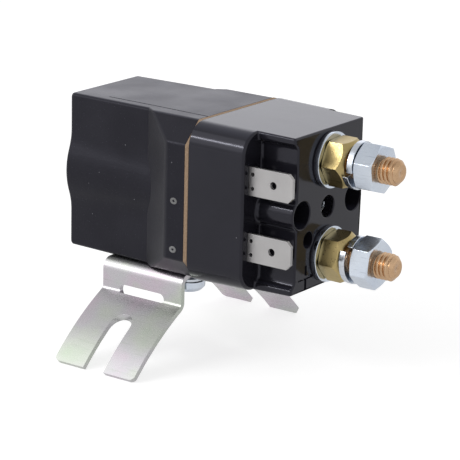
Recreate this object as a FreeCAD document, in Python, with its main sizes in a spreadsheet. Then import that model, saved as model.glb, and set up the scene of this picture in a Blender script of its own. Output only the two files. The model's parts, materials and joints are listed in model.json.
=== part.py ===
import FreeCAD, Part
import math
import os
import Sketcher

# Single-pole starter solenoid on a bent strap bracket, in millimetres.
# +X runs along the body to the studs, -Y is the side with the blade terminals, +Z is up.
# The pieces are drawn with x = 0 where the coil housing meets the gasket and with
# y = z = 0 on the plunger's axis, and are then lifted onto the four prong tips.

doc = FreeCAD.newDocument("StarterSolenoid")
sheet = doc.addObject("Spreadsheet::Sheet", "Sizes")

# The driving sizes. Each has one cell and one name.
SIZES = {
    # coil housing
    "housing_length": 37.8,
    "mouth_half_width": 13.25,
    "mouth_half_height": 18.05,
    "width_taper": 1.0,
    "height_taper": 0.13,
    "shell_wall": 1.6,
    "bulge_rise": 0.8,
    "bulge_blend": 12.0,
    "flange_half_width": 19.0,
    "flange_corner": 4.9,
    "flare_length": 9.6,
    "flange_land": 5.2,
    "edge_round": 0.8,
    "tail_bevel": 0.5,
    "top_groove_start": 28.4,
    "top_groove_inset": 2.3,
    "top_groove_width": 0.35,
    "top_groove_depth": 0.3,
    # gasket
    "gasket_thickness": 1.0,
    # contact cover
    "cover_length": 24.0,
    "wing_length": 14.5,
    "wing_end_half_width": 18.75,
    "cover_end_half_width": 13.4,
    "cover_height_taper": 0.5,
    "cover_corner": 5.1,
    "recess_floor": 12.1,
    "recess_rim": 1.4,
    "recess_round": 1.8,
    "screw_column_radius": 3.8,
    "screw_offset": 9.95,
    "screw_sink_radius": 3.05,
    "screw_sink_depth": 10.0,
    "spigot_length": 1.5,
    "spigot_clearance": 0.2,
    "chamber_half_width": 5.6,
    "chamber_wall": 2.35,
    "end_wall": 4.8,
    "sight_hole_radius": 2.45,
    "spring_seat_depth": 2.3,
    "stud_boss_radius": 6.3,
    "stud_boss_height": 0.3,
    "pilot_hole_radius": 1.8,
    "pilot_hole_depth": 6.0,
    "pilot_hole_side": 7.2,
    "pilot_hole_drop": 6.1,
    # terminal studs and what is threaded on them
    "stud_radius": 3.0,
    "stud_tip": 43.4,
    "stud_root_radius": 2.45,
    "stud_end_step": 0.1,
    "stud_bevel": 1.1,
    "stud_tip_radius": 1.9,
    "stud_head_thickness": 2.5,
    "stud_head_half": 4.9,
    "stud_head_corner": 1.2,
    "stud_head_clearance": 0.2,
    "tip_radius": 3.4,
    "tip_thickness": 0.8,
    "washer_radius": 6.25,
    "washer_thickness": 1.0,
    "nut_across_flats": 10.0,
    "nut_corner_angle": 30.0,
    "nut_bevel": 0.45,
    "nut_bevel_slope": 0.5,
    "brass_nut_thickness": 5.3,
    "brass_nut_cone": 1.4,
    "brass_nut_cone_slope": 1.0,
    "outer_nut_thickness": 4.75,
    "lock_washer_thickness": 1.4,
    "lock_washer_rise": 1.2,
    "lock_washer_radius": 5.4,
    "stud_clearance": 0.15,
    # blade terminals
    "blade_width": 6.35,
    "blade_thickness": 0.8,
    "blade_spacing": 14.76,
    "blade_plane": 16.2,
    "blade_tip": 26.8,
    "blade_tail": 6.5,
    "blade_hole_radius": 0.85,
    "blade_hole_from_tip": 5.0,
    "blade_dimple_radius": 0.45,
    "blade_dimple_pitch": 3.15,
    "blade_dimple_from_wall": 0.9,
    "blade_corner": 1.1,
    "blade_slot_clearance": 0.1,
    # magnet
    "yoke_thickness": 2.5,
    "magnet_clearance": 0.15,
    "pole_plate_thickness": 6.0,
    "core_radius": 5.15,
    "core_length": 16.5,
    "core_spigot_radius": 4.45,
    "tube_wall": 0.5,
    "running_clearance": 0.05,
    "bobbin_wall": 0.9,
    "bobbin_flange": 1.2,
    "coil_clearance": 0.25,
    "winding_inset": 0.5,
    "lead_radius": 0.8,
    "lead_clearance": 0.3,
    "lead_bend": 1.2,
    # moving set
    "plunger_travel": 3.2,
    "plunger_stop_gap": 0.4,
    "rod_radius": 1.5,
    "rod_socket": 2.6,
    "rod_end": 19.5,
    "rod_clearance": 0.1,
    "buffer_radius": 4.5,
    "buffer_thickness": 1.1,
    "spring_plate_radius": 4.4,
    "spring_plate_thickness": 1.0,
    "spring_plate_start": 0.5,
    "contact_gap": 2.4,
    "bridge_thickness": 1.8,
    "bridge_half_width": 4.5,
    "bridge_end_gap": 1.3,
    "bridge_corner": 1.5,
    "bridge_washer_rise": 0.2,
    "bush_radius": 4.4,
    "bush_flange": 1.2,
    "bush_shank_radius": 2.7,
    "clip_thickness": 0.6,
    "clip_radius": 3.2,
    "return_seat_thickness": 0.8,
    "contact_spring_radius": 3.3,
    "contact_spring_wire": 0.45,
    "return_spring_radius": 2.75,
    "return_spring_wire": 0.28,
    "return_spring_clearance": 0.2,
    # bracket
    "strip_thickness": 1.2,
    "strip_width": 22.3,
    "strip_setback": 3.0,
    "strap_inset": 0.45,
    "bend_radius": 1.9,
    "web_length": 3.85,
    "foot_bend_radius": 1.6,
    "foot_start_angle": 28.0,
    "foot_end_angle": 46.0,
    "foot_arc_radius": 66.0,
    "fork_slot_width": 5.7,
    "fork_slot_length": 11.6,
    "web_slot_length": 12.5,
    "web_slot_height": 2.5,
    "prong_corner": 1.2,
    # bracket screws
    "bracket_screw_radius": 1.95,
    "bracket_screw_edge": 3.5,
    "bracket_screw_inset": 5.2,
    "bracket_screw_head_radius": 3.7,
    "bracket_screw_head_height": 2.4,
    "bracket_screw_head_bevel": 0.9,
    "bracket_washer_inset": 0.2,
    "screw_hole_clearance": 0.1,
    "screw_washer_thickness": 0.7,
    "screw_washer_rise": 0.3,
    "screw_slot_width": 1.1,
    "screw_slot_depth": 1.1,
    "thread_depth": 8.0,
    "thread_end_gap": 0.5,
    # cover screws
    "cover_screw_radius": 1.7,
    "cover_screw_head_radius": 2.8,
    "cover_screw_head_height": 3.0,
    "cover_screw_head_edge": 0.4,
    "cover_screw_socket_radius": 1.4,
    "cover_screw_socket_depth": 1.4,
    # how far a cut runs past what it cuts
    "margin": 1.0,
}


class Size:
    """A length that knows its value and the expression that gives it."""

    def __init__(self, value, text):
        self.value = value
        self.text = text

    def __add__(self, other):
        other = as_size(other)
        return Size(self.value + other.value, f"({self.text} + {other.text})")

    def __radd__(self, other):
        return as_size(other) + self

    def __sub__(self, other):
        other = as_size(other)
        return Size(self.value - other.value, f"({self.text} - {other.text})")

    def __rsub__(self, other):
        return as_size(other) - self

    def __mul__(self, other):
        other = as_size(other)
        return Size(self.value * other.value, f"({self.text} * {other.text})")

    def __rmul__(self, other):
        return as_size(other) * self

    def __truediv__(self, other):
        other = as_size(other)
        return Size(self.value / other.value, f"({self.text} / {other.text})")

    def __neg__(self):
        return Size(-self.value, f"(0 - {self.text})")


def as_size(number):
    if isinstance(number, Size):
        return number
    return Size(float(number), repr(float(number)))


def sine(degrees):
    return Size(math.sin(math.radians(degrees.value)), f"sin({degrees.text} * 1 deg)")


def root(square):
    return Size(math.sqrt(square.value), f"sqrt({square.text})")


def cosine(degrees):
    return Size(math.cos(math.radians(degrees.value)), f"cos({degrees.text} * 1 deg)")


def fill_sheet():
    for row, (name, value) in enumerate(SIZES.items(), start=1):
        sheet.set(f"A{row}", name)
        sheet.set(f"B{row}", str(value))
        sheet.setAlias(f"B{row}", name)
    doc.recompute()


def size(name):
    return Size(float(getattr(sheet, name)), "Sizes." + name)


fill_sheet()
s = {name: size(name) for name in SIZES}

# Places along the body that several pieces share.
margin = s["margin"]
tail_half_width = s["mouth_half_width"] - s["width_taper"]
tail_half_height = s["mouth_half_height"] - s["height_taper"]
bulge_radius = s["mouth_half_width"] + s["bulge_rise"]
cover_end_half_height = s["mouth_half_height"] - s["cover_height_taper"]
chamber_half_height = s["mouth_half_height"] - s["chamber_wall"]
cover_start = s["gasket_thickness"]
cover_end = cover_start + s["cover_length"]
wing_end = cover_start + s["wing_length"]
chamber_end = cover_end - s["end_wall"]
stud_side = chamber_half_height - s["stud_head_half"] - s["stud_head_clearance"]
blade_side = s["blade_spacing"] / 2
flange_half_height = s["mouth_half_height"]
flare_start = -(s["flange_land"] + s["flare_length"])
housing_back = -s["housing_length"]
yoke_back = housing_back + s["shell_wall"]
yoke_front = yoke_back + s["yoke_thickness"]
plate_front = -s["spigot_length"]
plate_back = plate_front - s["pole_plate_thickness"]
cavity_half_height = tail_half_height - s["shell_wall"]
coil_room_radius = bulge_radius - s["shell_wall"]
bobbin_flange_radius = coil_room_radius - s["coil_clearance"]
winding_radius = bobbin_flange_radius - s["winding_inset"]
yoke_half_width = tail_half_width - s["shell_wall"] - s["coil_clearance"]
plate_half_height = cavity_half_height - s["magnet_clearance"]
plate_half_width = s["mouth_half_width"] - s["magnet_clearance"]
core_back = plate_front - s["core_length"]
plunger_front = core_back - s["plunger_travel"] - s["plunger_stop_gap"]
plunger_back = yoke_back + s["buffer_thickness"]
tube_inner = s["core_radius"] + s["running_clearance"]
tube_outer = tube_inner + s["tube_wall"]
bobbin_bore = tube_outer + s["running_clearance"]
lead_room = s["lead_radius"] + s["lead_clearance"]
lead_side = plate_half_width - lead_room
lead_start = plate_back - s["bobbin_flange"] - lead_room
screw_side = plate_half_width - s["bracket_screw_edge"]
screw_washer_height = s["screw_washer_thickness"] + s["screw_washer_rise"]
rod_bore = s["rod_radius"] + s["rod_clearance"]

# The contact set, from the studs inwards: fixed tip, gap, moving tip, bridge, bush.
head_start = chamber_end - s["stud_head_thickness"]
fixed_face = head_start - s["tip_thickness"]
moving_face = fixed_face - s["contact_gap"]
bridge_top = moving_face - s["tip_thickness"]
bridge_bottom = bridge_top - s["bridge_thickness"]
bush_bottom = bridge_bottom - s["bush_flange"]
bridge_washer_top = moving_face + s["bridge_washer_rise"]
bridge_half_length = chamber_half_height - s["bridge_end_gap"]
clip_start = bridge_washer_top + s["running_clearance"]
return_seat_start = clip_start + s["clip_thickness"]
return_seat_top = return_seat_start + s["return_seat_thickness"]
spring_pocket_end = chamber_end + s["spring_seat_depth"]
return_pocket_radius = s["return_spring_radius"] + s["return_spring_wire"] + s["return_spring_clearance"]
spring_plate_top = s["spring_plate_start"] + s["spring_plate_thickness"]

# The stack on each stud, from the cover outwards.
washer_start = cover_end + s["stud_boss_height"]
nut_start = washer_start + s["washer_thickness"]
lock_start = nut_start + s["brass_nut_thickness"]
lock_height = s["lock_washer_thickness"] + s["lock_washer_rise"]
outer_nut_start = lock_start + lock_height
outer_nut_end = outer_nut_start + s["outer_nut_thickness"]

# The bracket's strip, by its middle line, from under the body to a prong's tip.
half_strip = s["strip_thickness"] / 2
body_underside = -s["mouth_half_height"]
strap_level = body_underside - half_strip
strap_underside = strap_level - half_strip
strap_half_span = s["mouth_half_width"] - s["strap_inset"]
web_side = strap_half_span + s["bend_radius"]
web_top = strap_level - s["bend_radius"]
web_bottom = web_top - s["web_length"]
foot_start_side = web_side + s["foot_bend_radius"] * (1 - sine(s["foot_start_angle"]))
foot_start_level = web_bottom - s["foot_bend_radius"] * cosine(s["foot_start_angle"])
foot_run = s["foot_arc_radius"] * (sine(s["foot_end_angle"]) - sine(s["foot_start_angle"]))
foot_drop = s["foot_arc_radius"] * (cosine(s["foot_start_angle"]) - cosine(s["foot_end_angle"]))
tip_side = foot_start_side + foot_run
tip_level = foot_start_level - foot_drop
ground_level = tip_level - half_strip * cosine(s["foot_end_angle"])
strip_end = -s["strip_setback"]
strip_middle = strip_end - s["strip_width"] / 2

# The origin stands under the middle of the whole object's length, at the prong tips.
origin_shift = (s["housing_length"] - s["stud_tip"]) / 2
origin_lift = -ground_level


def bind(thing, name, length):
    """Bind one property of an object to the expression behind a size."""
    thing.setExpression(name, as_size(length).text)


def vector(pair):
    return FreeCAD.Vector(as_size(pair[0]).value, as_size(pair[1]).value, 0)


def new_body(label):
    body = doc.addObject("PartDesign::Body", label)
    body.Label = label
    return body


def origin_plane(body, role):
    return next(item for item in body.Origin.OriginFeatures if item.Role == role)


def new_sketch(body, role, offset=None):
    """A sketch on one of the body's own planes, at an offset along its normal."""
    sketch = body.newObject("Sketcher::SketchObject", body.Name + "_sketch")
    sketch.AttachmentSupport = [(origin_plane(body, role), "")]
    sketch.MapMode = "FlatFace"
    if offset is not None:
        bind(sketch, ".AttachmentOffset.Base.z", offset)
    return sketch


def fix(sketch, kind, geometry, position, length):
    """Hold one coordinate of a point at a size, or on the axis where it is plain zero."""
    length = as_size(length)
    if length.text == "0.0":
        axis = -2 if kind == "DistanceX" else -1
        sketch.addConstraint(Sketcher.Constraint("PointOnObject", geometry, position, axis))
        return
    index = sketch.addConstraint(
        Sketcher.Constraint(kind, -1, 1, geometry, position, length.value))
    bind(sketch, f"Constraints[{index}]", length)


def arc_between(first, last, radius, turn):
    """A minor arc from first to last, turning left for +1 and right for -1."""
    chord = last - first
    middle = (first + last) * 0.5
    reach = math.sqrt(max(radius ** 2 - (chord.Length / 2) ** 2, 0.0))
    left = FreeCAD.Vector(-chord.y, chord.x, 0).normalize()
    centre = middle + left * (reach * turn)
    circle = Part.Circle(centre, FreeCAD.Vector(0, 0, 1), radius)
    begin, end = (first, last) if turn > 0 else (last, first)
    return Part.ArcOfCircle(circle, circle.parameter(begin), circle.parameter(end))


def draw_chain(sketch, points, arcs=None, closed=True):
    """Lines through the points; arcs maps a segment's number to its radius and turn."""
    arcs = arcs or {}
    count = len(points) if closed else len(points) - 1
    ends = []
    for number in range(count):
        first = vector(points[number])
        last = vector(points[(number + 1) % len(points)])
        if number in arcs:
            radius, turn = arcs[number]
            geometry = sketch.addGeometry(arc_between(first, last, radius.value, turn), False)
            ends.append((geometry, 1, 2) if turn > 0 else (geometry, 2, 1))
            chord = last - first
            if near(chord.Length, radius.value * 2, 1e-6):
                upright = abs(chord.y) > abs(chord.x)
                fix(sketch, "DistanceX" if upright else "DistanceY", geometry, 3,
                    points[number][0 if upright else 1])
            else:
                bound = sketch.addConstraint(Sketcher.Constraint("Radius", geometry, radius.value))
                bind(sketch, f"Constraints[{bound}]", radius)
        else:
            geometry = sketch.addGeometry(Part.LineSegment(first, last), False)
            ends.append((geometry, 1, 2))
    for number in range(count if closed else count - 1):
        here = ends[number]
        after = ends[(number + 1) % count]
        sketch.addConstraint(Sketcher.Constraint("Coincident", here[0], here[2], after[0], after[1]))
    for number, point in enumerate(points):
        geometry, position = ends[number][:2] if number < count else (ends[-1][0], ends[-1][2])
        fix(sketch, "DistanceX", geometry, position, point[0])
        fix(sketch, "DistanceY", geometry, position, point[1])


def draw_box(sketch, left, right, low, high):
    draw_chain(sketch, [(left, low), (right, low), (right, high), (left, high)])


def draw_circle(sketch, side, level, radius):
    circle = Part.Circle(vector((side, level)), FreeCAD.Vector(0, 0, 1), radius.value)
    geometry = sketch.addGeometry(circle, False)
    fix(sketch, "DistanceX", geometry, 3, side)
    fix(sketch, "DistanceY", geometry, 3, level)
    index = sketch.addConstraint(Sketcher.Constraint("Radius", geometry, radius.value))
    bind(sketch, f"Constraints[{index}]", radius)


def draw_octagon(sketch, half_width, half_height, corner):
    w, h, c = half_width, half_height, corner
    draw_chain(sketch, [(-w, c - h), (c - w, -h), (w - c, -h), (w, c - h),
                        (w, h - c), (w - c, h), (c - w, h), (-w, h - c)])


def draw_round_box(sketch, half_width, half_height, radius):
    w, h, r = half_width, half_height, radius
    corner = (radius, 1)
    draw_chain(sketch, [(r - w, -h), (w - r, -h), (w, r - h), (w, h - r),
                        (w - r, h), (r - w, h), (-w, h - r), (-w, r - h)],
               arcs={1: corner, 3: corner, 5: corner, 7: corner})


def draw_slot(sketch, left, right, level, radius):
    """A slot with round ends along the sketch's first axis."""
    draw_chain(sketch, [(left + radius, level - radius), (right - radius, level - radius),
                        (right - radius, level + radius), (left + radius, level + radius)],
               arcs={1: (radius, 1), 3: (radius, 1)})


def pad(body, sketch, length, backwards=False):
    feature = body.newObject("PartDesign::Pad", body.Name + "_pad")
    feature.Profile = sketch
    bind(feature, "Length", length)
    feature.Reversed = backwards
    doc.recompute()
    return feature


def pocket(body, sketch, length, forwards=False):
    """A cut against the sketch's normal, or along it where forwards is set."""
    before = body.Shape.Volume
    feature = body.newObject("PartDesign::Pocket", body.Name + "_pocket")
    feature.Profile = sketch
    bind(feature, "Length", length)
    feature.Reversed = forwards
    doc.recompute()
    if body.Shape.Volume > before - 1e-6:
        raise RuntimeError(body.Label + ": a pocket cut nothing")
    return feature


def loft(body, first, *others):
    feature = body.newObject("PartDesign::AdditiveLoft", body.Name + "_loft")
    feature.Profile = first
    feature.Sections = list(others)
    feature.Ruled = True
    doc.recompute()
    return feature


def revolve(body, sketch, axis="H_Axis"):
    feature = body.newObject("PartDesign::Revolution", body.Name + "_turned")
    feature.Profile = sketch
    feature.ReferenceAxis = (sketch, [axis])
    feature.Angle = 360
    doc.recompute()
    return feature


def groove(body, sketch):
    before = body.Shape.Volume
    feature = body.newObject("PartDesign::Groove", body.Name + "_groove")
    feature.Profile = sketch
    feature.ReferenceAxis = (sketch, ["H_Axis"])
    feature.Angle = 360
    doc.recompute()
    if body.Shape.Volume > before - 1e-6:
        raise RuntimeError(body.Label + ": a groove cut nothing")
    return feature


def edge_names(shape, wanted):
    return [f"Edge{number}" for number, edge in enumerate(shape.Edges, start=1) if wanted(edge)]


def round_edges(body, names, radius):
    feature = body.newObject("PartDesign::Fillet", body.Name + "_fillet")
    feature.Base = (feature.BaseFeature, names)
    bind(feature, "Radius", radius)
    doc.recompute()
    return feature


def ends_of(edge):
    return [vertex.Point for vertex in edge.Vertexes]


def near(value, target, margin=0.02):
    return abs(value - target) < margin


def turned_piece(label, profile, side=0, level=0):
    """A body turned from a profile of (place along x, radius) about an axis along x."""
    body = new_body(label)
    sketch = new_sketch(body, "XY_Plane")
    draw_chain(sketch, profile)
    revolve(body, sketch)
    return place(body, side=side, level=level)


def tube_profile(start, end, inner, outer):
    return [(start, inner), (end, inner), (end, outer), (start, outer)]


placed = []


def place(thing, side=0, level=0, along=0):
    """Set a finished piece into the object's frame and keep it for writing."""
    bind(thing, ".Placement.Base.x", origin_shift + along)
    bind(thing, ".Placement.Base.y", side)
    bind(thing, ".Placement.Base.z", origin_lift + level)
    placed.append(thing)
    return thing


def place_shape(label, shape, side=0, level=0, along=0):
    """A piece whose shape is worked out here; its placement follows its shape."""
    feature = doc.addObject("Part::Feature", label)
    feature.Label = label
    feature.Shape = shape
    return place(feature, side, level, along)


# How far the threaded pieces are turned from +Y about their own axes, in degrees.
NUT_TURNS = {
    "upper": {"brass_turn": 3.5, "outer_turn": -17.5, "lock_turn": 200},
    "lower": {"brass_turn": 11, "outer_turn": 19.5, "lock_turn": 148},
}
BRACKET_WASHER_TURN = 250

# Facets of the wound and bent wire pieces.
WASHER_STEPS = 24
WASHER_CLOSED_SHARE = 0.965
SPRING_TURNS = 5
SPRING_STEPS = 14
WIRE_SIDES = 6


def draw_barrel(sketch, half_width, half_height, inset=0):
    """The housing's section: flat sides that swell out round the coil through hollow blends."""
    bulge = bulge_radius - inset
    blend = s["bulge_blend"] + inset
    w, h, r = half_width - inset, half_height - inset, s["edge_round"]
    reach = bulge + blend
    centre_side = w + blend
    centre_level = root(reach * reach - centre_side * centre_side)
    touch = bulge / reach
    side = centre_side * touch
    level = centre_level * touch
    right = [(w - r, -h), (w, r - h), (w, -centre_level), (side, -level),
             (side, level), (w, centre_level), (w, h - r), (w - r, h)]
    left = [(-y, -z) for y, z in right]
    arcs = {}
    for start in (0, len(right)):
        arcs.update({start: (r, 1), start + 2: (blend, -1), start + 3: (bulge, 1),
                     start + 4: (blend, -1), start + 6: (r, 1)})
    draw_chain(sketch, right + left, arcs=arcs)


def housing_outside(body):
    """The tapered box with the coil's bulge, then the mouth that flares out to the flange."""
    bevel = s["tail_bevel"]
    cap = new_sketch(body, "YZ_Plane", housing_back)
    draw_barrel(cap, tail_half_width, tail_half_height, inset=bevel)
    tail = new_sketch(body, "YZ_Plane", housing_back + bevel)
    draw_barrel(tail, tail_half_width, tail_half_height)
    mouth = new_sketch(body, "YZ_Plane")
    draw_barrel(mouth, s["mouth_half_width"], s["mouth_half_height"])
    loft(body, cap, tail, mouth)
    taper = (s["housing_length"] + flare_start) / s["housing_length"]
    flare_root = tail_half_width + (s["mouth_half_width"] - tail_half_width) * taper
    wide = s["flange_half_width"]
    plan = new_sketch(body, "XY_Plane", -flange_half_height)
    draw_chain(plan, [(flare_start, -flare_root), (-s["flange_land"], -wide), (0, -wide),
                      (0, wide), (-s["flange_land"], wide), (flare_start, flare_root)])
    pad(body, plan, flange_half_height * 2)
    corners = new_sketch(body, "YZ_Plane", margin)
    low = wide - s["flange_corner"] - margin
    high = flange_half_height - s["flange_corner"] - margin
    for hand in (-1, 1):
        for rise in (-1, 1):
            draw_chain(corners, [(low * hand, (flange_half_height + margin) * rise),
                                 ((wide + margin) * hand, high * rise),
                                 ((wide + margin) * hand, (flange_half_height + margin) * rise)])
    pocket(body, corners, margin - flare_start)


def housing_inside(body):
    """The coil's room, the pole plate's shoulder, lead channels and screw holes."""
    room = new_sketch(body, "YZ_Plane")
    half_width = tail_half_width - s["shell_wall"]
    draw_box(room, -half_width, half_width, -cavity_half_height, cavity_half_height)
    pocket(body, room, -yoke_back)
    barrel = new_sketch(body, "YZ_Plane")
    draw_circle(barrel, 0, 0, coil_room_radius)
    pocket(body, barrel, -yoke_back)
    shoulder = new_sketch(body, "YZ_Plane")
    draw_box(shoulder, -s["mouth_half_width"], s["mouth_half_width"], -cavity_half_height, cavity_half_height)
    pocket(body, shoulder, -plate_back)
    channel = new_sketch(body, "YZ_Plane")
    for hand in (-1, 1):
        level = blade_side * hand
        draw_box(channel, -s["mouth_half_width"], -half_width + margin, level - lead_room, level + lead_room)
    pocket(body, channel, lead_room - lead_start)
    holes = new_sketch(body, "XY_Plane", body_underside - margin)
    for hand in (-1, 1):
        draw_circle(holes, -s["bracket_screw_inset"], screw_side * hand,
                    s["bracket_screw_radius"] + s["screw_hole_clearance"])
    pocket(body, holes, s["shell_wall"] + margin * 2, forwards=True)
    line = new_sketch(body, "XY_Plane", s["mouth_half_height"] + margin)
    start_side = s["top_groove_inset"] - tail_half_width
    end_side = s["top_groove_inset"] - s["mouth_half_width"]
    draw_chain(line, [(-s["top_groove_start"], start_side), (0, end_side),
                      (0, end_side + s["top_groove_width"]),
                      (-s["top_groove_start"], start_side + s["top_groove_width"])])
    pocket(body, line, s["top_groove_depth"] + margin)


def make_coil_housing():
    body = new_body("coil_housing")
    housing_outside(body)
    housing_inside(body)
    place(body)


def make_gasket():
    body = new_body("cover_gasket")
    outline = new_sketch(body, "YZ_Plane")
    draw_octagon(outline, s["flange_half_width"], flange_half_height, s["flange_corner"])
    draw_box(outline, -s["mouth_half_width"], s["mouth_half_width"], -cavity_half_height, cavity_half_height)
    pad(body, outline, s["gasket_thickness"])
    place(body)


def cover_outside(body):
    """The wide wing beside the gasket and the tapered block that carries the studs."""
    reach = s["wing_length"] / s["cover_length"]
    wing_half_height = s["mouth_half_height"] - (s["mouth_half_height"] - cover_end_half_height) * reach
    wide = new_sketch(body, "YZ_Plane", cover_start)
    draw_round_box(wide, s["flange_half_width"], s["mouth_half_height"], s["cover_corner"])
    narrow = new_sketch(body, "YZ_Plane", wing_end)
    draw_round_box(narrow, s["wing_end_half_width"], wing_half_height, s["cover_corner"])
    loft(body, wide, narrow)
    root = new_sketch(body, "YZ_Plane", cover_start)
    root_half_width = s["flange_half_width"] - s["cover_corner"]
    draw_box(root, -root_half_width, root_half_width, -s["mouth_half_height"], s["mouth_half_height"])
    end = new_sketch(body, "YZ_Plane", cover_end)
    draw_box(end, -s["cover_end_half_width"], s["cover_end_half_width"],
             -cover_end_half_height, cover_end_half_height)
    loft(body, root, end)
    spigot = new_sketch(body, "YZ_Plane", cover_start)
    half_width = s["mouth_half_width"] - s["spigot_clearance"]
    half_height = cavity_half_height - s["spigot_clearance"]
    draw_box(spigot, -half_width, half_width, -half_height, half_height)
    pad(body, spigot, cover_start - plate_front, backwards=True)


def cover_recess(body):
    """The open recess behind the blades, crossed by the column round one cover screw."""
    recess = new_sketch(body, "YZ_Plane", cover_end + margin)
    high = cover_end_half_height - s["recess_rim"]
    floor = -s["recess_floor"]
    corner = s["recess_round"]
    draw_chain(recess, [(-s["flange_half_width"], -high), (floor - corner, -high), (floor, corner - high),
                        (floor, high - corner), (floor - corner, high), (-s["flange_half_width"], high)],
               arcs={1: (corner, 1), 3: (corner, 1)})
    pocket(body, recess, cover_end - wing_end + margin)
    column = new_sketch(body, "YZ_Plane", wing_end - margin)
    draw_circle(column, -s["screw_offset"], 0, s["screw_column_radius"])
    pad(body, column, cover_end - wing_end + margin)
    bosses = new_sketch(body, "YZ_Plane", cover_end - margin)
    for hand in (-1, 1):
        draw_circle(bosses, 0, stud_side * hand, s["stud_boss_radius"])
    pad(body, bosses, s["stud_boss_height"] + margin)


def cover_inside(body):
    """The contact chamber, the spring pocket, and every hole through the end wall."""
    chamber = new_sketch(body, "YZ_Plane", plate_front)
    draw_box(chamber, -s["chamber_half_width"], s["chamber_half_width"],
             -chamber_half_height, chamber_half_height)
    pocket(body, chamber, chamber_end - plate_front, forwards=True)
    spring_pocket = new_sketch(body, "YZ_Plane", chamber_end - margin)
    draw_circle(spring_pocket, 0, 0, return_pocket_radius)
    pocket(body, spring_pocket, s["spring_seat_depth"] + margin, forwards=True)
    sight = new_sketch(body, "YZ_Plane", cover_end + margin)
    draw_circle(sight, 0, 0, s["sight_hole_radius"])
    pocket(body, sight, s["end_wall"] + margin)
    studs = new_sketch(body, "YZ_Plane", washer_start + margin)
    for hand in (-1, 1):
        draw_circle(studs, 0, stud_side * hand, s["stud_radius"] + s["running_clearance"])
    pocket(body, studs, s["end_wall"] + s["stud_boss_height"] + margin * 2)
    sinks = new_sketch(body, "YZ_Plane", cover_end + margin)
    through = new_sketch(body, "YZ_Plane", cover_end + margin)
    for hand in (-1, 1):
        draw_circle(sinks, s["screw_offset"] * hand, 0, s["screw_sink_radius"])
        draw_circle(through, s["screw_offset"] * hand, 0, s["cover_screw_radius"] + s["screw_hole_clearance"])
    pocket(body, sinks, s["screw_sink_depth"] + margin)
    pocket(body, through, cover_end - plate_front + margin * 2)
    pilot = new_sketch(body, "YZ_Plane", cover_end + margin)
    draw_circle(pilot, -s["pilot_hole_side"], -s["pilot_hole_drop"], s["pilot_hole_radius"])
    pocket(body, pilot, s["pilot_hole_depth"] + margin)
    slots = new_sketch(body, "YZ_Plane", s["blade_tail"] - margin)
    rooms = new_sketch(body, "YZ_Plane", plate_front - margin)
    half_thickness = s["blade_thickness"] / 2 + s["blade_slot_clearance"]
    half_width = s["blade_width"] / 2 + s["blade_slot_clearance"]
    for hand in (-1, 1):
        level = blade_side * hand
        draw_box(slots, -s["blade_plane"] - half_thickness, -s["blade_plane"] + half_thickness,
                 level - half_width, level + half_width)
        draw_box(rooms, -s["blade_plane"] - lead_room, -lead_side + lead_room,
                 level - lead_room, level + lead_room)
    pocket(body, slots, s["wing_length"] + margin * 2, forwards=True)
    pocket(body, rooms, s["blade_tail"] - plate_front + margin, forwards=True)


def make_contact_cover():
    body = new_body("contact_cover")
    cover_outside(body)
    cover_recess(body)
    cover_inside(body)
    place(body)


def make_magnet():
    """Yoke, pole plate, fixed core, guide tube, bobbin and winding."""
    yoke = new_body("yoke_frame")
    outline = new_sketch(yoke, "XZ_Plane", -yoke_half_width)
    outer = plate_half_height
    inner = outer - s["yoke_thickness"]
    draw_chain(outline, [(plate_back, -outer), (plate_back, -inner), (yoke_front, -inner), (yoke_front, inner),
                         (plate_back, inner), (plate_back, outer), (yoke_back, outer), (yoke_back, -outer)])
    pad(yoke, outline, yoke_half_width * 2)
    opening = new_sketch(yoke, "YZ_Plane", yoke_front + margin)
    draw_circle(opening, 0, 0, bobbin_bore)
    pocket(yoke, opening, s["yoke_thickness"] + margin * 2)
    place(yoke)

    plate = new_body("pole_plate")
    face = new_sketch(plate, "YZ_Plane", plate_back)
    draw_box(face, -plate_half_width, plate_half_width, -plate_half_height, plate_half_height)
    draw_circle(face, 0, 0, s["core_spigot_radius"])
    for hand in (-1, 1):
        draw_circle(face, s["screw_offset"] * hand, 0, s["cover_screw_radius"])
    pad(plate, face, s["pole_plate_thickness"])
    notches = new_sketch(plate, "YZ_Plane", plate_front + margin)
    for hand in (-1, 1):
        level = blade_side * hand
        draw_box(notches, -plate_half_width - margin, -lead_side + lead_room, level - lead_room, level + lead_room)
    pocket(plate, notches, s["pole_plate_thickness"] + margin * 2)
    tapped = new_sketch(plate, "XY_Plane", -plate_half_height - margin)
    for hand in (-1, 1):
        draw_circle(tapped, -s["bracket_screw_inset"], screw_side * hand,
                    s["bracket_screw_radius"] + s["running_clearance"])
    pocket(plate, tapped, s["thread_depth"] + margin, forwards=True)
    place(plate)

    turned_piece("fixed_core", [(core_back, rod_bore), (plate_front, rod_bore),
                                (plate_front, s["core_spigot_radius"]), (plate_back, s["core_spigot_radius"]),
                                (plate_back, s["core_radius"]), (core_back, s["core_radius"])])
    turned_piece("guide_tube", tube_profile(yoke_back, plate_back, tube_inner, tube_outer))
    bore = bobbin_bore
    barrel = bore + s["bobbin_wall"]
    rim = bobbin_flange_radius
    first = yoke_front
    turned_piece("coil_bobbin", [(first, bore), (plate_back, bore), (plate_back, rim),
                                 (plate_back - s["bobbin_flange"], rim),
                                 (plate_back - s["bobbin_flange"], barrel), (first + s["bobbin_flange"], barrel),
                                 (first + s["bobbin_flange"], rim), (first, rim)])
    turned_piece("coil_winding", tube_profile(first + s["bobbin_flange"], plate_back - s["bobbin_flange"],
                                              barrel, winding_radius))


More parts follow.
